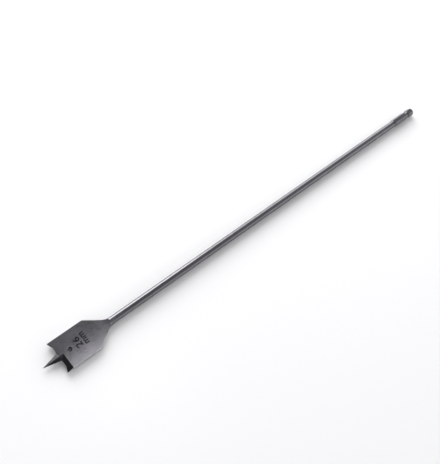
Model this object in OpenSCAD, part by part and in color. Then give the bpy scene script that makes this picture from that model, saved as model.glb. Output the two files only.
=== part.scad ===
// Spade drill bit: a flat blade with two lips and a centre spike, forged on the end of a
// long round shaft, with a six-sided shank at the other end. One piece of hardened steel.
// Lengths are in millimetres and angles in degrees.
// The axis lies along X: the end face of the shank is at x = 0, the point at overall_length.
// Z is up, square to the flats of the blade.

/* [Shaft] */
// Length from the end face of the shank to the point of the spike
overall_length = 400; // [150:1:600]
// Diameter of the round shaft
shaft_diameter = 6; // [5:0.1:6.3]

/* [Blade] */
// Diameter that the blade cuts, over its two ground sides
cut_diameter = 26; // [18:0.5:40]
// Thickness between the two flats
blade_thickness = 3; // [2:0.1:4]
// Distance from the point back to the outer corner of the shoulders
shoulder_distance = 42.1; // [33:0.1:70]
// Angle between a shoulder and the axis
shoulder_angle = 36; // [30:1:60]
// Radius that rounds the outer corner of a shoulder
corner_radius = 3; // [1:0.1:5]
// Radius of the hollow neck between shoulder and shaft
neck_radius = 12; // [4:0.5:16]
// Radius on which the flats run out into the round shaft
run_out_radius = 12; // [6:0.5:20]
// How far before the end of the neck the flats have run out
run_out_margin = 1.5; // [0.5:0.1:4]

/* [Spike and lips] */
// Distance from the point back to the lips
spike_length = 14; // [9:0.1:18]
// Width of the spike where it meets the lips
spike_width = 6.8; // [5:0.1:10]
// Length of the rake face ground behind each lip
rake_length = 3.5; // [2:0.1:5]
// Angle at which the rake face falls from the flat to its lip
rake_angle = 16; // [5:1:18]
// Angle at which the end face falls away behind its lip
relief_angle = 15; // [5:1:25]
// Width of the pointed spur at the outer end of each lip
spur_width = 4.4; // [2:0.1:4.6]
// How far a spur stands ahead of its lip
spur_height = 2; // [0.5:0.1:3]

/* [Hanging hole] */
// Diameter of the hole through the blade
hole_diameter = 3.2; // [2:0.1:5]
// Distance from the point back to the middle of the hole
hole_distance = 23.1; // [20.5:0.1:28]
// Width of the chamfer round both mouths of the hole
hole_chamfer = 0.3; // [0.1:0.05:0.5]

/* [Shank] */
// Size of the six-sided shank across its flats
hex_across_flats = 6.35; // [6.35:0.05:9.5]
// Length of the six-sided shank
hex_length = 26; // [20:0.5:40]
// Angle at which the corners of the shank run out to the shaft, from the axis
hex_run_out_angle = 25; // [15:1:45]
// Depth of the chamfer round the end face, measured in from the corners
end_chamfer = 1; // [0.4:0.1:1.5]
// Angle of that chamfer from the axis
end_chamfer_angle = 30; // [20:1:60]
// Distance from the end face to the middle of the ring groove
groove_distance = 8; // [6:0.5:12]
// Radius of the round bottom of the ring groove
groove_radius = 2.4; // [1.5:0.1:3]
// Diameter at the bottom of the ring groove
groove_diameter = 4.8; // [4:0.1:5.6]

/* [Hidden] */
$fn = 128;

// Half sizes
cut_radius = cut_diameter / 2;
shaft_radius = shaft_diameter / 2;
half_thickness = blade_thickness / 2;
half_spike = spike_width / 2;
hex_corner_radius = hex_across_flats / 2 / cos(30);

// How far a cutting body reaches past what it cuts
over = 2;
reach = cut_diameter + overall_length / 10;

// Rake faces: they start this far behind the point and leave the lips this far above the
// middle of the thickness
rake_start = spike_length + rake_length;
lip_height = half_thickness - rake_length * tan(rake_angle);

// The spike's ridge climbs from the point to the flat at the start of the rake face. Its
// leading and trailing faces roll down from that ridge to the spike's own edges
ridge_angle = atan(half_thickness / rake_start);
edge_drop = spike_length * sin(ridge_angle);
leading_roll = atan((edge_drop - lip_height * cos(ridge_angle)) / half_spike);
trailing_roll = atan((edge_drop + lip_height * cos(ridge_angle)) / half_spike);

// Shoulder outline: where the sharp shoulder would meet the shaft, and the arcs at both ends
shoulder_slope = tan(shoulder_angle);
shoulder_meets_shaft = shoulder_distance + (cut_radius - shaft_radius) / shoulder_slope;
corner_tangent = corner_radius * tan(shoulder_angle / 2);
neck_tangent = neck_radius * tan(shoulder_angle / 2);
neck_end = shoulder_meets_shaft + neck_tangent;

// The flats leave the blade so that they run out just before the neck becomes the full shaft
run_out_height = half_thickness + run_out_radius;
run_out_length = sqrt(pow(run_out_radius, 2) - pow(run_out_height - shaft_radius, 2));
run_out_start = neck_end - run_out_margin - run_out_length;

// Shank: length of the sloping end of its corners, inside which the shaft ends
hex_run_out = (hex_corner_radius - shaft_radius) / tan(hex_run_out_angle);
shaft_end = overall_length - hex_length + hex_run_out;

// Turns a frame measured back from the point into the frame of the bit
module from_point() {
    translate([overall_length, 0, 0])
        rotate([0, 0, 180])
            children();
}

// Revolves an outline given as [distance, radius] about the axis
module turned() {
    rotate([0, 90, 0])
        rotate_extrude()
            mirror([1, -1, 0])
                children();
}

// Outline of the blade's sides, shoulders, neck and shaft, from the axis outwards
module blade_outline() {
    difference() {
        union() {
            polygon([
                [spike_length - spur_height - over, 0],
                [spike_length - spur_height - over, cut_radius],
                [shoulder_distance - corner_tangent, cut_radius],
                [shoulder_distance + corner_tangent * cos(shoulder_angle),
                    cut_radius - corner_tangent * sin(shoulder_angle)],
                [shoulder_meets_shaft - neck_tangent * cos(shoulder_angle),
                    shaft_radius + neck_tangent * sin(shoulder_angle)],
                [neck_end, shaft_radius + neck_tangent * sin(shoulder_angle)],
                [neck_end, shaft_radius],
                [shaft_end, shaft_radius],
                [shaft_end, 0]
            ]);
            translate([shoulder_distance - corner_tangent, cut_radius - corner_radius])
                circle(corner_radius);
        }
        translate([neck_end, shaft_radius + neck_radius])
            circle(neck_radius);
    }
}

// Space above one flat, which the die clears from the lips to the run-out
module flat_clearance() {
    translate([-over, -reach / 2, half_thickness])
        cube([run_out_start + over, reach, reach]);
    translate([run_out_start, 0, run_out_height])
        rotate([90, 0, 0])
            cylinder(h = reach, r = run_out_radius, center = true);
}

// Grinding space ahead of the lip and spur on the +Y half, tilted for relief
module lip_clearance() {
    spur_start = cut_radius - spur_width;
    spur_slope = spur_height * cos(relief_angle) / spur_width;
    translate([spike_length, 0, -lip_height])
        rotate([0, relief_angle, 0])
            translate([0, 0, -reach / 2])
                linear_extrude(reach)
                    polygon([
                        [-reach, 0],
                        [0, 0],
                        [0, spur_start],
                        [-spur_slope * (spur_width + over), cut_radius + over],
                        [-reach, cut_radius + over]
                    ]);
}

// Grinding space above the rake face of the -Y half
module rake_clearance() {
    translate([rake_start, 0, half_thickness])
        rotate([0, -rake_angle, 0])
            translate([-reach, -reach, 0])
                cube(reach);
}

// Everything below a plane through the point that holds the spike's ridge and rolls about it
module below_spike_face(roll) {
    rotate([0, -ridge_angle, 0])
        rotate([roll, 0, 0])
            translate([-over, -reach, -reach])
                cube([reach, 2 * reach, reach]);
}

// Four-sided spike whose faces all meet at the point
module spike() {
    intersection() {
        below_spike_face(leading_roll);
        below_spike_face(-trailing_roll);
        rotate([180, 0, 0])
            below_spike_face(leading_roll);
        rotate([180, 0, 0])
            below_spike_face(-trailing_roll);
        translate([0, -reach / 2, -reach / 2])
            cube([rake_start, reach, reach]);
    }
}

// Hole through both flats, chamfered at its mouths
module hanging_hole() {
    translate([hole_distance, 0, 0]) {
        cylinder(h = blade_thickness + 2 * over, d = hole_diameter, center = true);
        for (side = [0, 180])
            rotate([side, 0, 0])
                translate([0, 0, half_thickness - hole_chamfer])
                    cylinder(
                        h = hole_chamfer + over,
                        r1 = hole_diameter / 2,
                        r2 = hole_diameter / 2 + hole_chamfer + over
                    );
    }
}

// Blade and shaft, measured back from the point
module blade_and_shaft() {
    difference() {
        union() {
            difference() {
                turned()
                    blade_outline();
                for (half = [0, 180])
                    rotate([half, 0, 0]) {
                        flat_clearance();
                        lip_clearance();
                        rake_clearance();
                    }
            }
            spike();
        }
        hanging_hole();
    }
}

// Outline that trims the corners of the shank at both ends, and sinks into the shaft
module hex_trim_outline() {
    end_radius = hex_corner_radius - end_chamfer;
    polygon([
        [0, 0],
        [0, end_radius],
        [end_chamfer / tan(end_chamfer_angle), hex_corner_radius],
        [hex_length - hex_run_out, hex_corner_radius],
        [hex_length + over, shaft_radius - over * tan(hex_run_out_angle)],
        [hex_length + over, 0]
    ]);
}

// Six-sided shank with two flats level with the blade, measured from its end face
module hex_shank() {
    difference() {
        intersection() {
            rotate([0, 90, 0])
                rotate([0, 0, 30])
                    cylinder(h = hex_length + over, r = hex_corner_radius, $fn = 6);
            turned()
                hex_trim_outline();
        }
        turned()
            translate([groove_distance, groove_diameter / 2 + groove_radius])
                circle(groove_radius);
    }
}

module spade_bit() {
    color([0.58, 0.58, 0.6])
        union() {
            from_point()
                blade_and_shaft();
            hex_shank();
        }
}

spade_bit();
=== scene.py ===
# %% [markdown]
# A spade drill bit bores wide, rough holes in wood. A flat blade carries a sharp centre spike, two
# ground lips and two pointed spurs. It sits on the end of a long round shaft, whose other end is
# six-sided for the drill to hold. One could model all this by eye, but a construction model already
# gives the exact place of everything, so it is loaded first as a fixed frame to build over.

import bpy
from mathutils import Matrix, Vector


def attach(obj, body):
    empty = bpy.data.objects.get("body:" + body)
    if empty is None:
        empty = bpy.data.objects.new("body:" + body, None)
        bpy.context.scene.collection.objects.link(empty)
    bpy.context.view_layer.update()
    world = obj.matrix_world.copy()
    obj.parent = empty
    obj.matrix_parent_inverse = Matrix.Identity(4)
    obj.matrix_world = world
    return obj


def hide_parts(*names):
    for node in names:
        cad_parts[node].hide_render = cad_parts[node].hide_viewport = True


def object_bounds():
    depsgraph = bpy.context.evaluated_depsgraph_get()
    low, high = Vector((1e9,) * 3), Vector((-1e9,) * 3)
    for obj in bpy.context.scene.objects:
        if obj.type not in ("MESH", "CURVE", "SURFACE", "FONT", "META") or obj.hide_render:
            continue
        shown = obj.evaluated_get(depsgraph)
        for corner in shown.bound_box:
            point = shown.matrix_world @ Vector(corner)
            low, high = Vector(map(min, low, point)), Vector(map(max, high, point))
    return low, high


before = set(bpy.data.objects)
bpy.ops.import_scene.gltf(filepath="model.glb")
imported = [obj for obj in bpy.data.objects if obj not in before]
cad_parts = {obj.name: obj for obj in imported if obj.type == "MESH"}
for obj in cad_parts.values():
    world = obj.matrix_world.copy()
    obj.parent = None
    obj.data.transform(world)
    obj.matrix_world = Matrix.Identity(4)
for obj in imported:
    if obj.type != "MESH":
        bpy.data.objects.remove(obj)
cad_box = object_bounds()
print("frame box in metres:", [[round(c, 4) for c in corner] for corner in cad_box])

# %% [markdown]
# A bit is measured in millimetres and tenths, and Blender's own unit is the metre. Modelling in metres
# works for large forms, but Blender's edge tools compare lengths with fixed small numbers, which are
# too coarse for a broken edge a tenth of a millimetre wide. So the bit is modelled in millimetres and
# shrunk when it is whole. Its length and the circle that it cuts are read from the frame. The axis
# lies along X with the shank at zero, and the blade is drawn from its point backwards, so from_point
# turns a distance behind the point into a place.

# %% Sizes of the bit
import math
import bmesh
import bpy
from mathutils import Vector

METRES = 0.001
LENGTH = round(cad_box[1][0] / METRES, 2)
CUT_R = round(cad_box[1][1] / METRES, 2)
SHAFT_R = 3.0
HALF_T = 1.5


def from_point(back, across=0.0, up=0.0):
    """A place given by its distance back from the point, as a place in the frame."""
    return Vector((LENGTH - back, -across, up))


print("the bit is", LENGTH, "mm long and cuts", 2 * CUT_R, "mm")

# %% [markdown]
# Most of the bit comes from a few outlines, as a maker would draw them. They could be typed in as long
# lists of points, but drawing them keeps every round stretch a true arc. An outline starts as a single
# point. Extruding that point draws straight lines, and spinning it about a centre draws arcs.

# %% Draw an outline
def start_at(name, place):
    """A new object whose mesh is one point, in edit mode."""
    bpy.ops.object.select_all(action="DESELECT")
    bpy.ops.mesh.primitive_plane_add(size=1, location=place)
    bpy.ops.object.transform_apply(location=True, rotation=True, scale=True)
    bpy.context.object.name = name
    bpy.ops.object.mode_set(mode="EDIT")
    bpy.ops.mesh.select_all(action="SELECT")
    bpy.ops.mesh.merge(type="CENTER")
    return bpy.context.object


def pen_place():
    """Where the selected end of the outline is."""
    mesh = bmesh.from_edit_mesh(bpy.context.object.data)
    return next(v.co.copy() for v in mesh.verts if v.select)


def draw_to(*places):
    """Draws straight lines from the end of the outline to one place after the other."""
    for place in places:
        step = Vector(place) - pen_place()
        bpy.ops.mesh.extrude_region_move(TRANSFORM_OT_translate={"value": step})


def draw_arc(centre, axis, angle, steps):
    """Bends the outline on. Spin turns clockwise round its axis, so the angle changes sign."""
    bpy.ops.mesh.spin(steps=steps, angle=-angle, center=centre, axis=axis)


# %% [markdown]
# An outline becomes a solid in one of two ways. Spun about an axis, it is what a lathe would turn.
# Filled and pushed along, it is what a saw would cut from a plate. The Screw and Solidify modifiers can
# do the same, but the edit mode tools leave a closed mesh at once. Doubled points are merged and faces
# are turned outwards each time, because spinning can leave both wrong.

# %% Make a solid of an outline
MERGE = 1e-4


def describe(piece):
    """Says how many faces a piece has and how large it is."""
    size = [round(c, 2) for c in piece.dimensions]
    print(piece.name, "has", len(piece.data.polygons), "faces and measures", size)


def close_solid():
    """Merges doubled points, turns faces outwards and leaves edit mode."""
    bpy.ops.mesh.select_all(action="SELECT")
    bpy.ops.mesh.remove_doubles(threshold=MERGE)
    bpy.ops.mesh.normals_make_consistent(inside=False)
    bpy.ops.object.mode_set(mode="OBJECT")
    describe(bpy.context.object)


def spin_round(centre, axis, steps):
    """Turns the outline into a closed solid of revolution."""
    bpy.ops.mesh.select_all(action="SELECT")
    bpy.ops.mesh.spin(steps=steps, angle=math.tau, center=centre, axis=axis)
    close_solid()


def push_along(way):
    """Fills the outline and pushes it along into a closed prism."""
    bpy.ops.mesh.select_all(action="SELECT")
    bpy.ops.mesh.edge_face_add()
    bpy.ops.mesh.extrude_region_move(TRANSFORM_OT_translate={"value": way})
    close_solid()


# %% [markdown]
# Most cuts on a spade bit are made twice, half a turn apart, because each half of the blade is the
# other half turned over. A cut could be modelled face by face. Here the space that a wheel or a die
# clears is a solid of its own, and a Boolean modifier takes it away, which gives the same crisp meeting
# lines as grinding does. The copy for the other side is mirrored twice. Two mirrorings are a half turn
# with no rounding, so planes that both halves share stay shared.

# %% Cut and join solids
def combine(piece, tool, operation, solver="EXACT"):
    """Cuts a piece with a tool, or joins the tool to it, and puts the tool away."""
    bpy.ops.object.select_all(action="DESELECT")
    bpy.context.view_layer.objects.active = piece
    piece.select_set(True)
    modifier = piece.modifiers.new(operation.lower(), "BOOLEAN")
    modifier.operation = operation
    modifier.solver = solver
    modifier.object = tool
    bpy.ops.object.modifier_apply(modifier=modifier.name)
    bpy.data.objects.remove(tool)
    describe(piece)


def half_turned(tool):
    """A copy of a tool, half a turn round the bit's axis, with its own mesh."""
    bpy.ops.object.select_all(action="DESELECT")
    bpy.context.view_layer.objects.active = tool
    tool.select_set(True)
    bpy.ops.object.duplicate(linked=False)
    copy = bpy.context.object
    copy.scale = (1, -1, -1)
    bpy.ops.object.transform_apply(location=True, rotation=True, scale=True)
    return copy


def cut_both_sides(piece, tool):
    """Makes the same cut twice, half a turn apart."""
    other = half_turned(tool)
    combine(piece, tool, "DIFFERENCE")
    combine(piece, other, "DIFFERENCE")


# %% [markdown]
# A spade bit starts as a round bar with a wide head. The sides of the blade lie on the circle that the
# bit cuts, so they are part of a turned surface, and so are the shoulders and the hollow neck. The
# blank could be put together from cylinders and cones, but one outline spun about the axis keeps the
# arcs at the shoulder's corner and at the neck tangent to the lines that they join. It starts ahead of
# the lips, where grinding takes it away, and ends a little inside the shank.

# %% Turn the blank
SHOULDER = 42.1
SHOULDER_ANGLE = math.radians(36)
CORNER_R = 3.0
CORNER_STEPS = 8
NECK_R = 12.0
NECK_STEPS = 14
HEAD_FRONT = 9.0
HEX_LENGTH = 26.0
SHAFT_IN_SHANK = 1.0
TURN_STEPS = 120
X_AXIS = (1, 0, 0)
Z_AXIS = (0, 0, 1)
corner_tangent = CORNER_R * math.tan(SHOULDER_ANGLE / 2)
neck_tangent = NECK_R * math.tan(SHOULDER_ANGLE / 2)
neck_end = SHOULDER + (CUT_R - SHAFT_R) / math.tan(SHOULDER_ANGLE) + neck_tangent
neck_start = from_point(
    neck_end - neck_tangent - neck_tangent * math.cos(SHOULDER_ANGLE),
    SHAFT_R + neck_tangent * math.sin(SHOULDER_ANGLE),
)
shaft_end = LENGTH - HEX_LENGTH + SHAFT_IN_SHANK

bit = start_at("spade_bit_steel", from_point(HEAD_FRONT))
draw_to(from_point(HEAD_FRONT, CUT_R), from_point(SHOULDER - corner_tangent, CUT_R))
corner_centre = from_point(SHOULDER - corner_tangent, CUT_R - CORNER_R)
draw_arc(corner_centre, Z_AXIS, -SHOULDER_ANGLE, CORNER_STEPS)
draw_to(neck_start)
draw_arc(from_point(neck_end, SHAFT_R + NECK_R), Z_AXIS, SHOULDER_ANGLE, NECK_STEPS)
draw_to(from_point(shaft_end, SHAFT_R), from_point(shaft_end))
spin_round((0, 0, 0), X_AXIS, TURN_STEPS)

# %% [markdown]
# A forging die flattens the head to the thickness of the blade and lets the flats rise into the round
# shaft on a wide radius, which leaves the tongue-shaped ends that one sees at the neck. Moving points of
# the mesh up and down would only come near that curve. A cutter with the die's side view gives it
# exactly: level over the blade, then an arc that climbs out past the shaft.

# %% Forge the flats
RUN_OUT_R = 12.0
RUN_OUT_MARGIN = 1.5
RUN_OUT_STEPS = 48
WIDE = 40.0
Y_AXIS = (0, 1, 0)
run_out_centre = HALF_T + RUN_OUT_R
run_out_length = math.sqrt(RUN_OUT_R ** 2 - (run_out_centre - SHAFT_R) ** 2)
run_out_start = neck_end - RUN_OUT_MARGIN - run_out_length

flat_cutter = start_at("flat_cutter", from_point(-WIDE, WIDE, HALF_T))
draw_to(from_point(run_out_start, WIDE, HALF_T))
draw_arc(from_point(run_out_start, WIDE, run_out_centre), Y_AXIS, math.pi / 2, RUN_OUT_STEPS)
draw_to(from_point(run_out_start + RUN_OUT_R, WIDE, WIDE), from_point(-WIDE, WIDE, WIDE))
push_along((0, 2 * WIDE, 0))
cut_both_sides(bit, flat_cutter)

# %% [markdown]
# The front of the blade is ground square to the axis, and each half leans back under its cutting edge
# so that only the edge touches the wood. At the outer end the edge climbs into a spur that scores the
# rim of the hole. Bisecting planes would make the lip or the spur but run on through the other, so one
# cutter with both in its outline is drawn on the tilted plane of the wheel and pushed through the blade.

# %% Place the lips
SPIKE_LENGTH = 14.0
RAKE_LENGTH = 3.5
RAKE_ANGLE = math.radians(16)
RELIEF_ANGLE = math.radians(15)
LIP_HEIGHT = HALF_T - RAKE_LENGTH * math.tan(RAKE_ANGLE)
lip_down = Vector((-math.sin(RELIEF_ANGLE), 0, math.cos(RELIEF_ANGLE)))


def on_lip(ahead, across):
    """A place on the tilted grinding plane, ahead of the lip and out from the axis."""
    lip = from_point(SPIKE_LENGTH, across, -LIP_HEIGHT)
    return lip + ahead * Vector((math.cos(RELIEF_ANGLE), 0, math.sin(RELIEF_ANGLE)))


print("lips stand %.2f mm off the middle of the blade" % LIP_HEIGHT)

# %% Grind the lips
SPUR_WIDTH = 4.4
SPUR_HEIGHT = 2.0
OVERCUT = 2.0
spur_slope = SPUR_HEIGHT * math.cos(RELIEF_ANGLE) / SPUR_WIDTH

lip_cutter = start_at("lip_cutter", on_lip(WIDE, 0) - WIDE * lip_down)
for ahead, across in (
    (0, 0),
    (0, CUT_R - SPUR_WIDTH),
    (spur_slope * (SPUR_WIDTH + OVERCUT), CUT_R + OVERCUT),
    (WIDE, CUT_R + OVERCUT),
):
    draw_to(on_lip(ahead, across) - WIDE * lip_down)
push_along(2 * WIDE * lip_down)
cut_both_sides(bit, lip_cutter)

# %% [markdown]
# On the upper side of one half, and on the lower side of the other, a wheel grinds a slope from the
# flat down to the lip. It makes the lip keen and gives the chip a way out. A bisecting plane would cut
# right across the blade, while this grind stops at the axis. So the cutter is a block whose lower face
# is the slope and whose side lies on the middle plane of the blade.

# %% Grind the rake faces
RAKE_START = SPIKE_LENGTH + RAKE_LENGTH
fall = Vector((math.cos(RAKE_ANGLE), 0, -math.sin(RAKE_ANGLE)))
rise = Vector((math.sin(RAKE_ANGLE), 0, math.cos(RAKE_ANGLE)))
rake_top = from_point(RAKE_START, 0, HALF_T)

rake_cutter = start_at("rake_cutter", rake_top)
draw_to(rake_top + WIDE * fall, rake_top + WIDE * fall + WIDE * rise, rake_top + WIDE * rise)
push_along((0, WIDE, 0))
cut_both_sides(bit, rake_cutter)

# %% [markdown]
# The spike leads the bit into the wood, and its four ground faces meet in one point. Each face holds
# the ridge that climbs from the point to the flat, and rolls down from it to the spike's own edge. A
# cone with four sides would have its ridges in the wrong places. A block cut by four planes through the
# point has every face where its wheel would put it, and what is left is joined to the blade.

# %% Cut the spike from a block
HALF_SPIKE = 3.4
PLANE_TOUCH = 1e-5
ridge_angle = math.atan(HALF_T / RAKE_START)
edge_drop = SPIKE_LENGTH * math.sin(ridge_angle)
leading_roll = math.atan((edge_drop - LIP_HEIGHT * math.cos(ridge_angle)) / HALF_SPIKE)
trailing_roll = math.atan((edge_drop + LIP_HEIGHT * math.cos(ridge_angle)) / HALF_SPIKE)

bpy.ops.object.select_all(action="DESELECT")
bpy.ops.mesh.primitive_cube_add(
    size=1, location=from_point(RAKE_START / 2), scale=(RAKE_START, WIDE, WIDE)
)
spike = bpy.context.object
spike.name = "spike_block"
bpy.ops.object.transform_apply(location=True, rotation=True, scale=True)
bpy.ops.object.mode_set(mode="EDIT")
for roll in (leading_roll, -trailing_roll):
    for side in (1, -1):
        outwards = Vector((
            math.sin(ridge_angle) * math.cos(roll),
            side * math.sin(roll),
            side * math.cos(ridge_angle) * math.cos(roll),
        ))
        bpy.ops.mesh.select_all(action="SELECT")
        bpy.ops.mesh.bisect(
            plane_co=from_point(0),
            plane_no=outwards,
            clear_outer=True,
            use_fill=True,
            threshold=PLANE_TOUCH,
        )
close_solid()
combine(bit, spike, "UNION")

# %% [markdown]
# A small hole on the axis lets the bit hang from a hook, and both mouths are chamfered so that they
# aren't sharp. One could cut with a cylinder and bevel the rims afterwards. Here the drill and both
# countersinks are one outline, spun about the hole's own axis, so a single cut makes all three.

# %% Drill the hole
HOLE_R = 1.6
HOLE_BACK = 23.1
HOLE_CHAMFER = 0.3
HOLE_STEPS = 72
hole = from_point(HOLE_BACK)
flare = HALF_T - HOLE_CHAMFER

drill = start_at("drill", hole + Vector((0, 0, -flare - OVERCUT)))
draw_to(
    hole + Vector((HOLE_R + OVERCUT, 0, -flare - OVERCUT)),
    hole + Vector((HOLE_R, 0, -flare)),
    hole + Vector((HOLE_R, 0, flare)),
    hole + Vector((HOLE_R + OVERCUT, 0, flare + OVERCUT)),
    hole + Vector((0, 0, flare + OVERCUT)),
)
spin_round(hole, Z_AXIS, HOLE_STEPS)
combine(bit, drill, "DIFFERENCE")

# %% [markdown]
# The shank is the six-sided end that the drill holds, with two flats level with the blade. Its corners
# are turned down at both ends, to a chamfer at the end face and to a slope that sinks into the shaft.
# Bevels would leave straight edges there, and a lathe leaves curved ones. What a hexagon bar and a
# turned solid have in common shows those curves, so the two are intersected. The distance across the
# flats is the height of the whole bit, so it is read from the frame.

# %% Shape the shank
HEX_FLATS = round(2 * cad_box[1][2] / METRES, 2)
END_CHAMFER = 1.0
HEX_SLOPE = math.tan(math.radians(25))
hex_corner = HEX_FLATS / 2 / math.cos(math.radians(30))
chamfer_length = END_CHAMFER / math.tan(math.radians(30))
slope_length = (hex_corner - SHAFT_R) / HEX_SLOPE

bpy.ops.object.select_all(action="DESELECT")
bpy.ops.mesh.primitive_cylinder_add(
    vertices=6,
    radius=hex_corner,
    depth=HEX_LENGTH + OVERCUT,
    location=((HEX_LENGTH + OVERCUT) / 2, 0, 0),
    rotation=(0, math.pi / 2, 0),
)
shank = bpy.context.object
shank.name = "shank"
bpy.ops.object.transform_apply(location=True, rotation=True, scale=True)

trim = start_at("shank_trim", (0, 0, 0))
draw_to(
    (0, hex_corner - END_CHAMFER, 0),
    (chamfer_length, hex_corner, 0),
    (HEX_LENGTH - slope_length, hex_corner, 0),
    (HEX_LENGTH + OVERCUT, SHAFT_R - OVERCUT * HEX_SLOPE, 0),
    (HEX_LENGTH + OVERCUT, 0, 0),
)
spin_round((0, 0, 0), X_AXIS, TURN_STEPS)
combine(shank, trim, "INTERSECT")

# %% [markdown]
# A round groove near the end of the shank takes the ball of a quick-change holder. It could be drawn
# into the outline above, but a ring is the simplest cutter for a groove with a round bottom, and its
# place and depth stay easy to change. The finished shank overlaps the end of the shaft and is joined.

# %% Turn the groove and join the shank to the shaft
GROOVE_BACK = 8.0
GROOVE_R = 2.4
GROOVE_BOTTOM_R = 2.4
GROOVE_STEPS = 64
bpy.ops.object.select_all(action="DESELECT")
bpy.ops.mesh.primitive_torus_add(
    major_radius=GROOVE_BOTTOM_R + GROOVE_R,
    minor_radius=GROOVE_R,
    major_segments=TURN_STEPS,
    minor_segments=GROOVE_STEPS,
    location=(GROOVE_BACK, 0, 0),
    rotation=(0, math.pi / 2, 0),
)
ring = bpy.context.object
ring.name = "groove_ring"
bpy.ops.object.transform_apply(location=True, rotation=True, scale=True)
combine(shank, ring, "DIFFERENCE")
combine(bit, shank, "UNION")

# %% [markdown]
# A bit says what hole it cuts. The width of the blade in millimetres is stamped into the upper flat, in
# plain figures that read across the blade with their tops towards the point. Dark figures on a level
# face would do from far away, but a stamp is a hollow whose walls catch the light up close. So each
# word is a text turned into a mesh, stretched to its place and thickened into a punch.

# %% Cut a punch
CURVE_STEPS = 6
STROKE_SWELL = 0.022
PUNCH_HEIGHT = 1.0
TEXT_MERGE = 1e-5


def punch_for(word, width, height):
    """A solid of a word whose lower left corner is at the origin."""
    bpy.ops.object.select_all(action="DESELECT")
    bpy.ops.object.text_add(location=(0, 0, 0))
    punch = bpy.context.object
    punch.name = "punch_" + word
    punch.data.body = word
    punch.data.resolution_u = CURVE_STEPS
    punch.data.offset = STROKE_SWELL
    bpy.ops.object.convert(target="MESH")
    low = Vector([min(v.co[i] for v in punch.data.vertices) for i in range(3)])
    high = Vector([max(v.co[i] for v in punch.data.vertices) for i in range(3)])
    bpy.ops.object.mode_set(mode="EDIT")
    bpy.ops.mesh.select_all(action="SELECT")
    bpy.ops.mesh.remove_doubles(threshold=TEXT_MERGE)
    bpy.ops.transform.translate(value=(-low.x, -low.y, 0))
    bpy.ops.transform.resize(
        value=(width / (high.x - low.x), height / (high.y - low.y), 1),
        center_override=(0, 0, 0),
    )
    bpy.ops.mesh.extrude_region_move(TRANSFORM_OT_translate={"value": (0, 0, PUNCH_HEIGHT)})
    bpy.ops.mesh.select_all(action="SELECT")
    bpy.ops.mesh.normals_make_consistent(inside=False)
    bpy.ops.object.mode_set(mode="OBJECT")
    describe(punch)
    return punch


# %% [markdown]
# A press drives the punches a tenth of a millimetre or so into the steel. A displaced surface could
# imitate that, but its edges would be soft. So each punch is turned to read across the blade, set to
# that depth and taken away from the bit. The Manifold solver makes this cut, because both solids are
# closed and it is sure and quick with the many small faces of the figures.

# %% Stamp the size
MARK_DEPTH = 0.12
MARK_TURN = -math.pi / 2
FIGURE_HEIGHT = 5.2
FIGURE_FOOT = 32.9
UNIT_HEIGHT = 3.4
UNIT_FOOT = 37.8


def stamp(word, height, foot, start, end):
    """Sinks one word into the top flat: foot is the line it stands on, from start to end across."""
    punch = punch_for(word, end - start, height)
    punch.rotation_euler.z = MARK_TURN
    punch.location = from_point(foot, start, HALF_T - MARK_DEPTH)
    bpy.ops.object.transform_apply(location=True, rotation=True, scale=True)
    combine(bit, punch, "DIFFERENCE", "MANIFOLD")


stamp("2", FIGURE_HEIGHT, FIGURE_FOOT, start=-3.3, end=0.3)
stamp("6", FIGURE_HEIGHT, FIGURE_FOOT, start=1.2, end=4.9)
stamp("mm", UNIT_HEIGHT, UNIT_FOOT, start=-4.0, end=5.9)

# %% [markdown]
# No handled tool has dead sharp corners outside its cutting edges. The rim of both flats and the
# corners of the shank are broken by a narrow bevel, which is what catches the light on the real bit,
# while the lips, the spurs and the spike stay keen. A bevel on every edge would blunt them, so the
# edges are chosen in code, by a test. First the cuts' leftovers, points that all but touch, are merged.

# %% Clean the mesh and choose edges
CRUMB = 2e-3
SLIVER = 1e-3


def select_edges(wanted):
    """Selects the edges of the bit that a test accepts, and says how many."""
    bpy.ops.mesh.select_mode(type="EDGE")
    bpy.ops.mesh.select_all(action="DESELECT")
    mesh = bmesh.from_edit_mesh(bit.data)
    mesh.normal_update()
    count = 0
    for edge in mesh.edges:
        if len(edge.link_faces) == 2 and wanted(edge):
            edge.select_set(True)
            count += 1
    bmesh.update_edit_mesh(bit.data)
    return count


points_before = len(bit.data.vertices)
bpy.ops.object.select_all(action="DESELECT")
bit.select_set(True)
bpy.context.view_layer.objects.active = bit
bpy.ops.object.mode_set(mode="EDIT")
bpy.ops.mesh.select_all(action="SELECT")
bpy.ops.mesh.remove_doubles(threshold=CRUMB)
bpy.ops.mesh.dissolve_degenerate(threshold=SLIVER)
points_after = len(bmesh.from_edit_mesh(bit.data).verts)
print("merged", points_before - points_after, "of", points_before, "points")

# %% [markdown]
# The corners of a shank are broken just enough not to cut the hand or scar the chuck. The width is the
# same all round, so the bevel tool of edit mode is enough. The mouth of the groove stays sharp, as a
# turned groove does. Overlap isn't clamped, because the shortest edge left by the cuts would then hold
# back the whole bevel.

# %% Bevel the shank
SHANK_BEVEL = 0.10
SHANK_SLACK = 0.2
LENGTHWISE = 0.999
CORNER_LEAST = math.radians(20)


def on_shank(edge):
    """A corner of the shank or the edge of a chamfer, but not the mouth of the groove."""
    if max(v.co.x for v in edge.verts) > HEX_LENGTH + SHANK_SLACK:
        return False
    way = (edge.verts[1].co - edge.verts[0].co).normalized()
    middle = (edge.verts[1].co.x + edge.verts[0].co.x) / 2
    at_groove = abs(middle - GROOVE_BACK) < GROOVE_R and abs(way.x) < LENGTHWISE
    return not at_groove and edge.calc_face_angle() > CORNER_LEAST


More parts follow.
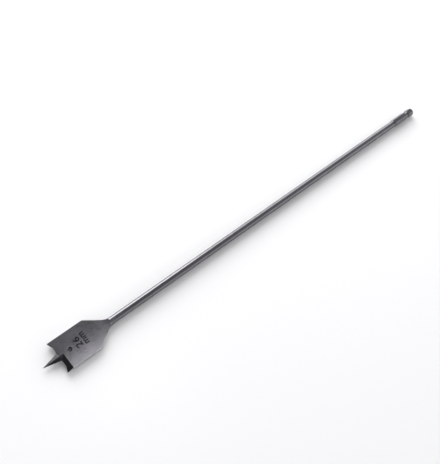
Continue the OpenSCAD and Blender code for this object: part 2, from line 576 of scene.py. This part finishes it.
found = select_edges(on_shank)
bpy.ops.mesh.bevel(offset=SHANK_BEVEL, segments=1, affect="EDGES", clamp_overlap=False)
bpy.ops.object.mode_set(mode="OBJECT")
print("broke", found, "edges of the shank by", SHANK_BEVEL, "mm")

# %% [markdown]
# The rim of the blade runs from the spurs over the shoulders to the neck. Its edges could be picked one
# by one, but they share what sets them apart: a level face meets a steep one at the height of a flat.
# The stamped figures pass the same test, so the field that they stand in is left out, and so are faces
# that look along the bit, which belong to the lips.

# %% Find the rim
MARK_FIELD = 8.0
ON_FLAT = 0.01
LEVEL_LEAST = 0.999
STEEP_MOST = 0.5
AHEAD_MOST = 0.8


def back_of(edge):
    """How far the middle of an edge lies behind the point."""
    return LENGTH - (edge.verts[0].co.x + edge.verts[1].co.x) / 2


def on_rim(edge):
    """Between a flat and the side, shoulder or neck of the blade."""
    if max(abs(abs(v.co.z) - HALF_T) for v in edge.verts) > ON_FLAT:
        return False
    if max(abs(v.co.y) for v in edge.verts) < MARK_FIELD and back_of(edge) < SHOULDER:
        return False
    steep, level = sorted(abs(f.normal.z) for f in edge.link_faces)
    ahead = max(abs(f.normal.x) for f in edge.link_faces)
    return level > LEVEL_LEAST and steep < STEEP_MOST and ahead < AHEAD_MOST


bpy.ops.object.mode_set(mode="EDIT")
found = select_edges(on_rim)
print("the rim has", found, "edges")

# %% [markdown]
# The belt that grinds the flats breaks the rim a little wider than the shank's corners. Towards the
# neck the flat leaves the rim at a smaller and smaller angle, until there is no corner left to break. A
# bevel of one width would end there in a step. So each edge gets a weight that falls to nothing at the
# neck, and a Bevel modifier that follows the weights narrows with it.

# %% Bevel the rim, down to nothing at the neck
RIM_WIDTH = 0.14
RIM_FADE = 4.0
RIM_MERGE = 1e-3
mesh = bmesh.from_edit_mesh(bit.data)
weight = mesh.edges.layers.float.new("bevel_weight_edge")
for edge in mesh.edges:
    if edge.select:
        edge[weight] = max(0.0, min(1.0, (run_out_start - back_of(edge)) / RIM_FADE))
bmesh.update_edit_mesh(bit.data)
bpy.ops.object.mode_set(mode="OBJECT")
rim = bit.modifiers.new("rim", "BEVEL")
rim.width = RIM_WIDTH
rim.segments = 1
rim.limit_method = "WEIGHT"
rim.use_clamp_overlap = False
bpy.ops.object.modifier_apply(modifier=rim.name)
bpy.ops.object.mode_set(mode="EDIT")
bpy.ops.mesh.select_all(action="SELECT")
bpy.ops.mesh.remove_doubles(threshold=RIM_MERGE)
bpy.ops.object.mode_set(mode="OBJECT")
describe(bit)

# %% [markdown]
# The finished bit is shrunk a thousand times about the origin, so that its mesh lies exactly over the
# construction model, which it stands for from here on. Scaling the object would look the same, but the
# patterns of the steel are laid in the object's own coordinates, so the mesh itself goes to metres.

# %% Shrink to metres
bpy.ops.object.mode_set(mode="EDIT")
bpy.ops.mesh.select_all(action="SELECT")
bpy.ops.transform.resize(value=(METRES, METRES, METRES), center_override=(0, 0, 0))
bpy.ops.object.mode_set(mode="OBJECT")
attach(bit, "root")
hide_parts("spade_bit")
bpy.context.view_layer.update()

# %% [markdown]
# The shaft and the neck are round on the real bit, and the mesh has them in narrow steps. Smoothing
# every face would smear the light over the ground edges. So only faces that meet at less than eight
# degrees are shaded as one curve. The outlines of the two flats are then marked sharp as well, because
# the arc at the neck leaves its flat at less than that and the flats have to stay even.

# %% Shade the curves smooth and the flats crisp
CREASE = math.radians(8)
FLAT_LEAST = 0.99999
FLAT_AREA = 1e-4
bpy.ops.object.shade_smooth_by_angle(angle=CREASE)
flat_edges = set()
for face in bit.data.polygons:
    if abs(face.normal.z) > FLAT_LEAST and face.area > FLAT_AREA:
        flat_edges.update(face.edge_keys)
for edge in bit.data.edges:
    if edge.key in flat_edges:
        edge.use_edge_sharp = True
print("kept", len(flat_edges), "edges round the flats crisp")

# %% [markdown]
# Ground steel isn't one even grey. A wheel or a belt leaves scratches that run its way, and hardening
# leaves soft clouds. A picture of steel could be laid over the bit, but it would stretch and repeat.
# Two noises in the bit's own coordinates give both marks at any size: one stretched along the grind for
# the scratches, and a broad one for the clouds.

# %% Nodes and their links
def feed(tree, socket, value):
    """Sets a socket to a value, or links it if the value is an output of a node."""
    if isinstance(value, bpy.types.NodeSocket):
        tree.links.new(value, socket)
    else:
        socket.default_value = value


def node(tree, kind, **sockets):
    """A new node whose sockets are fed by name, with underlines for spaces."""
    made = tree.nodes.new(kind)
    for name, value in sockets.items():
        feed(tree, made.inputs[name.replace("_", " ")], value)
    return made


def calculate(tree, operation, *values):
    """The output of a Math node whose inputs are fed in their order."""
    made = tree.nodes.new("ShaderNodeMath")
    made.operation = operation
    for socket, value in zip(made.inputs, values):
        feed(tree, socket, value)
    return made.outputs[0]


# %% A pattern of scratches and clouds
SCRATCH_SHARE = 0.6
CLOUD_SHARE = 0.4


def scratches_and_clouds(tree, grain, blotch):
    """The outputs of the scratches alone, and of scratches and clouds together."""
    place = tree.nodes.new("ShaderNodeTexCoord").outputs["Object"]
    stretch = node(tree, "ShaderNodeMapping", Vector=place, Scale=grain)
    scratch = node(
        tree, "ShaderNodeTexNoise",
        Vector=stretch.outputs["Vector"], Scale=1.0, Detail=6.0, Roughness=0.65,
    )
    cloud = node(
        tree, "ShaderNodeTexNoise",
        Vector=place, Scale=blotch, Detail=4.0, Roughness=0.55,
    )
    cloud_part = calculate(tree, "MULTIPLY", cloud.outputs["Fac"], CLOUD_SHARE)
    both = calculate(tree, "MULTIPLY_ADD", scratch.outputs["Fac"], SCRATCH_SHARE, cloud_part)
    return scratch.outputs["Fac"], both


# %% [markdown]
# All faces of the bit are bare metal and differ only in tone, gloss and grain, so one recipe makes every
# finish. The pattern runs the colour from dark to light and the roughness from glossy to dull. The
# scratches alone also raise a relief of a few thousandths of a millimetre. Cutting real scratches would
# take millions of faces, and a Bump node breaks up the reflections just as well.

# %% A recipe for ground steel
TONE_RANGE = (0.25, 0.75)
GLOSS_RANGE = (0.3, 0.7)


def steel(name, dark, light, rough, grain, blotch, relief):
    """A steel from dark to light, whose grain is a noise scale along each axis of the bit."""
    material = bpy.data.materials.new(name)
    material.use_nodes = True
    tree = material.node_tree
    shader = tree.nodes["Principled BSDF"]
    shader.inputs["Metallic"].default_value = 1.0
    scratches, pattern = scratches_and_clouds(tree, grain, blotch)

    tone = node(tree, "ShaderNodeValToRGB", Fac=pattern)
    for stop, position, colour in zip(tone.color_ramp.elements, TONE_RANGE, (dark, light)):
        stop.position = position
        stop.color = (*colour, 1)
    tree.links.new(tone.outputs["Color"], shader.inputs["Base Color"])

    gloss = node(
        tree, "ShaderNodeMapRange",
        Value=pattern, From_Min=GLOSS_RANGE[0], From_Max=GLOSS_RANGE[1],
        To_Min=rough[0], To_Max=rough[1],
    )
    tree.links.new(gloss.outputs["Result"], shader.inputs["Roughness"])

    bump = node(tree, "ShaderNodeBump", Height=scratches, Strength=1.0, Distance=relief)
    tree.links.new(bump.outputs["Normal"], shader.inputs["Normal"])
    return material


# %% [markdown]
# The bit has six finishes. The shaft is drawn smooth along its length. The flats are belt ground, also
# lengthwise, and hardened to a dull satin grey. The grinds at the lips and on the spike are fresh from
# a fine wheel that ran across and mirror a dim ceiling, and their colour is painted almost black on top
# of that, as painted shade. The sides, which rub in the wood, and the broken edges are bright. The
# stamped figures are dark marks, and the wall of the small hole is painted dark, as painted shade in the
# hole. Six objects could wear one finish each, but the bit is one piece, so one mesh has six materials.

# %% Mix the finishes
FINISHES = [
    steel("drawn_shaft", dark=(0.112, 0.109, 0.117), light=(0.165, 0.161, 0.171),
          rough=(0.18, 0.27), grain=(60, 2600, 2600), blotch=220, relief=4e-6),
    steel("satin_flats", dark=(0.108, 0.106, 0.116), light=(0.197, 0.194, 0.208),
          rough=(0.24, 0.34), grain=(260, 3200, 260), blotch=130, relief=5e-6),
    # Painted shade: the grinds' colour is painted almost black, far darker than ground steel is.
    steel("grinds_painted_dark", dark=(0.040, 0.040, 0.044), light=(0.078, 0.078, 0.084),
          rough=(0.10, 0.17), grain=(4200, 300, 4200), blotch=200, relief=2e-6),
    steel("ground_sides", dark=(0.48, 0.475, 0.485), light=(0.62, 0.615, 0.625),
          rough=(0.22, 0.32), grain=(300, 900, 3000), blotch=400, relief=2e-6),
    steel("worn_edges", dark=(0.34, 0.335, 0.345), light=(0.48, 0.475, 0.485),
          rough=(0.22, 0.32), grain=(900, 900, 900), blotch=400, relief=2e-6),
    # Dark marks for the stamped figures, and painted shade for the wall of the small hole.
    steel("dark_marks_and_painted_hole_shade", dark=(0.008, 0.008, 0.009), light=(0.022, 0.022, 0.024),
          rough=(0.55, 0.75), grain=(1500, 1500, 1500), blotch=600, relief=6e-6),
]
FINISH_INDEX = {material.name: index for index, material in enumerate(FINISHES)}
bit.data.materials.clear()
for material in FINISHES:
    bit.data.materials.append(material)
print("mixed", list(FINISH_INDEX))

# %% [markdown]
# On a real bit the tool that touched a face last decides its finish. Faces can be picked by hand and
# given a material, but a rule in code still holds when a size changes. Each face is asked where its
# middle lies and which way it looks. The shank, the shaft with its neck, and the dark hollows each have
# a short rule of their own. In the hollows the stamped figures are dark marks, and the wall of the hole
# is painted dark, as painted shade.

# %% Rules for shank, shaft and hollows
HEX_TURN = 60
CORNER_SPREAD = 4
NEAR = 0.01
UPRIGHT = 0.1
MARK_FRONT = 25.0


def shank_finish(face):
    """A broken corner looks halfway between two flats and is worn. The flats are drawn."""
    turned_by = math.degrees(math.atan2(face.normal.y, face.normal.z)) % HEX_TURN
    return "worn_edges" if abs(turned_by - HEX_TURN / 2) < CORNER_SPREAD else "drawn_shaft"


def shaft_finish(face, back):
    """The tongue in which a flat runs out is satin, and all that is round is drawn."""
    on_tongue = abs(face.normal.y) < NEAR and back < neck_end
    return "satin_flats" if on_tongue else "drawn_shaft"


def in_hollow(face, middle, back):
    """Inside a stamped figure, just below the upper flat, or on the wall of the hole, whose dark is
    painted shade.
    """
    in_field = MARK_FRONT < back < SHOULDER and abs(middle.y) < MARK_FIELD
    in_figure = in_field and NEAR < HALF_T - middle.z < MARK_DEPTH + 2 * NEAR
    from_hole = math.hypot(back - HOLE_BACK, middle.y)
    return in_figure or (from_hole < HOLE_R + NEAR and abs(face.normal.z) < UPRIGHT)


# %% [markdown]
# The blade needs the longest rule. Its sides are the steep faces on the circle that the bit cuts, its
# grinds are all the sloping faces ahead of the start of the rake, and its broken rim is what slopes in
# between. Where the rim's bevel fades out, it goes over into the plain neck. The first test that fits
# names the finish, so the order of the tests matters.

# %% Give each face its finish
STEEP = 0.4
SLOPING = 0.9
NOT_LEVEL = 0.9999
FACING_ALONG = 0.9
ON_SIDE = 0.1
END_FACING = 0.3
BLADE_WINGS = SHAFT_R + 1


def blade_finish(face, middle, back):
    """The finish of a face between the point and the start of the run-out."""
    level = abs(face.normal.z)
    on_wing = abs(middle.y) > BLADE_WINGS
    on_circle = math.hypot(middle.y, middle.z) > CUT_R - ON_SIDE
    # The stamped figures are dark marks, and the wall of the small hole is painted dark as painted
    # shade.
    if in_hollow(face, middle, back):
        return "dark_marks_and_painted_hole_shade"
    if on_wing and on_circle and level < STEEP and abs(face.normal.x) < FACING_ALONG:
        return "ground_sides"
    # Painted shade: the grinds get the colour that is painted almost black.
    if back < RAKE_START + NEAR and level < NOT_LEVEL:
        return "grinds_painted_dark"
    if on_wing and STEEP < level < SLOPING and back < run_out_start - RIM_FADE / 2:
        return "worn_edges"
    if on_wing and level < SLOPING:
        return "drawn_shaft"
    return "satin_flats"


def finish_of(face):
    """The finish of a face, from where it is and which way it looks."""
    middle = face.center / METRES
    back = LENGTH - middle.x
    on_hexagon = middle.x < HEX_LENGTH and abs(middle.x - GROOVE_BACK) > GROOVE_R
    if on_hexagon and abs(face.normal.x) < END_FACING:
        return shank_finish(face)
    if back > run_out_start:
        return shaft_finish(face, back)
    return blade_finish(face, middle, back)


counts = dict.fromkeys(FINISH_INDEX, 0)
for face in bit.data.polygons:
    finish = finish_of(face)
    face.material_index = FINISH_INDEX[finish]
    counts[finish] += 1
print("faces of each finish:", counts)

# %% [markdown]
# The bit lies on a plain pale floor, which touches it at the lowest height of the construction model. A
# sheet of paper that curves up behind would do for one view, but its edges would show in low ones, so
# the floor is level and wide enough to reach the horizon. It is matt, so that only the bit mirrors.

# %% Floor
FLOOR_SIZE = 30
FLOOR_TONE = 0.84
FLOOR_ROUGH = 0.75
floor_height = cad_box[0][2]
bpy.ops.object.select_all(action="DESELECT")
bpy.ops.mesh.primitive_plane_add(size=FLOOR_SIZE, location=(0.2, 0, floor_height))
floor = bpy.context.object
floor.name = "floor"
bpy.ops.object.transform_apply(location=True, rotation=True, scale=True)
paper = bpy.data.materials.new("pale_floor")
paper.use_nodes = True
paper_shader = paper.node_tree.nodes["Principled BSDF"]
paper_shader.inputs["Base Color"].default_value = (FLOOR_TONE, FLOOR_TONE, FLOOR_TONE, 1)
paper_shader.inputs["Roughness"].default_value = FLOOR_ROUGH
floor.data.materials.append(paper)
print("the floor lies %.2f mm below the axis" % (-floor_height / METRES))

# %% [markdown]
# Polished steel is lit for what it mirrors, and a pale floor for its soft shadows. Lamps that do both
# jobs would burn out the floor before the steel is bright enough. So each soft window has one job. The
# fill lights the floor and is kept out of reflections. The key, the long window beside the shaft and
# the small card over the blade are seen in the steel alone, as bright lines and soft patches.

# %% Lights
def softbox(name, place, aim, size, power, mirrored):
    """A rectangular lamp that looks at a place. The steel mirrors it, or else it lights the floor."""
    bpy.ops.object.select_all(action="DESELECT")
    bpy.ops.object.light_add(type="AREA", location=place)
    lamp = bpy.context.object
    lamp.name = name
    lamp.data.shape = "RECTANGLE"
    lamp.data.size, lamp.data.size_y = size
    lamp.data.energy = power
    lamp.rotation_euler = (Vector(aim) - Vector(place)).to_track_quat("-Z", "Y").to_euler()
    lamp.visible_camera = False
    lamp.visible_glossy = mirrored
    lamp.visible_diffuse = not mirrored
    print(name, "gives", power, "W to the", "steel" if mirrored else "floor")


softbox("fill_window", (-0.25, -1.15, 0.85), aim=(0.2, 0, 0),
        size=(1.2, 1.0), power=22, mirrored=False)
softbox("key_window", (0.182, -0.612, 0.336), aim=(0.335, 0, 0),
        size=(0.35, 0.52), power=2.9, mirrored=True)
softbox("shaft_window", (-0.36, -0.6, 0.42), aim=(-0.36, 0, 0),
        size=(0.78, 0.40), power=2.6, mirrored=True)
softbox("blade_card", (0.356, 0.031, 0.07), aim=(0.356, 0.031, 0),
        size=(0.052, 0.078), power=0.0395, mirrored=True)

# %% [markdown]
# What no lamp covers, the steel mirrors from the room. A picture of a studio could stand for it, but a
# few nodes that give each direction a brightness are plainer and easy to tune. The walls come first.
# They are bright low down, as pale walls are, and brighter towards the lamps and towards the shank's
# end. Close to the floor they darken into a skirting, which sets the steel off from the pale floor.

# %% Walls of the room
HORIZON = 2.4
SIDE_LEAN = -0.35
END_LEAN = -0.6
SKIRTING_FOOT = math.sin(math.radians(3))
SKIRTING_TOP = math.sin(math.radians(11))
SKIRTING_TONE = 0.2
world = bpy.data.worlds.new("pale_room_dim_ceiling")
bpy.context.scene.world = world
world.use_nodes = True
room = world.node_tree
around = room.nodes.new("ShaderNodeTexCoord")
way = node(room, "ShaderNodeSeparateXYZ", Vector=around.outputs["Generated"])
side_walls = calculate(room, "MULTIPLY_ADD", way.outputs["Y"], HORIZON * SIDE_LEAN, HORIZON)
all_walls = calculate(room, "MULTIPLY_ADD", way.outputs["X"], HORIZON * END_LEAN, side_walls)
skirting = node(
    room, "ShaderNodeMapRange",
    Value=way.outputs["Z"], From_Min=SKIRTING_FOOT, From_Max=SKIRTING_TOP, To_Min=SKIRTING_TONE,
)
skirting.interpolation_type = "SMOOTHSTEP"
walls = calculate(room, "MULTIPLY", all_walls, skirting.outputs["Result"])
print("walls of %.1f, leaning %.2f across and %.2f along the bit" % (HORIZON, SIDE_LEAN, END_LEAN))

# %% [markdown]
# The flats look straight up, so the ceiling gives the blade its grey. The grinds get their black from
# the ceiling too, and from painted shade, because their colour is painted almost black. The ceiling is
# dim, and toned along the bit like a ceiling lit from one end: the flats need it dark over the blade,
# and the back of the shaft needs it lighter at both ends. A ramp of five tones does both, and a smooth
# blend between two heights joins it to the walls.

# %% Ceiling of the room
CEILING = ((0.0, 0.76), (0.25, 0.57), (0.42, 0.36), (0.68, 0.19), (0.82, 0.5))
WALL_TOP = math.sin(math.radians(15))
CEILING_EDGE = math.sin(math.radians(37))
ROOM_COLOUR = (0.98, 0.98, 1.0, 1)
along = node(room, "ShaderNodeMapRange", Value=way.outputs["X"], From_Min=-1)
ceiling = node(room, "ShaderNodeValToRGB", Fac=along.outputs["Result"])
stops = ceiling.color_ramp.elements
while len(stops) < len(CEILING):
    stops.new(0.5)
for stop, (position, tone) in zip(stops, CEILING):
    stop.position = position
    stop.color = (tone, tone, tone, 1)
height = node(
    room, "ShaderNodeMapRange",
    Value=way.outputs["Z"], From_Min=WALL_TOP, From_Max=CEILING_EDGE,
)
height.interpolation_type = "SMOOTHSTEP"
blend = node(
    room, "ShaderNodeMix",
    Factor=height.outputs["Result"], A=walls, B=ceiling.outputs["Color"],
)
background = room.nodes["Background"]
room.links.new(blend.outputs["Result"], background.inputs["Strength"])
background.inputs["Color"].default_value = ROOM_COLOUR
print("ceiling tones from the shank's end:", [tone for position, tone in CEILING])

# %% [markdown]
# The camera looks down on the bit from where the photograph was taken, half a metre above the point and
# a little to one side. One could turn it by eye until it fits. Its place, turn and lens were worked out
# instead, so that the known length and width of the bit fall where the photograph shows them. The lens
# is known in pixels of the picture and Blender wants millimetres, so it is scaled by the sensor's width.

# %% Camera
CAMERA_PLACE = (0.45442, 0.14189, 0.50605)
CAMERA_TURN = (27.0847, -8.643, 139.8747)
SENSOR = 36.0
FOCAL_PIXELS = 714.06
IMAGE_WIDTH = 440
NEAREST = 0.01
bpy.ops.object.camera_add(location=CAMERA_PLACE, rotation=[math.radians(a) for a in CAMERA_TURN])
camera = bpy.context.object
camera.name = "camera"
camera.data.sensor_fit = "HORIZONTAL"
camera.data.sensor_width = SENSOR
camera.data.lens = FOCAL_PIXELS / IMAGE_WIDTH * SENSOR
camera.data.clip_start = NEAREST
bpy.context.scene.camera = camera
bpy.context.scene.view_settings.view_transform = "Standard"
print("lens of %.1f mm" % camera.data.lens)
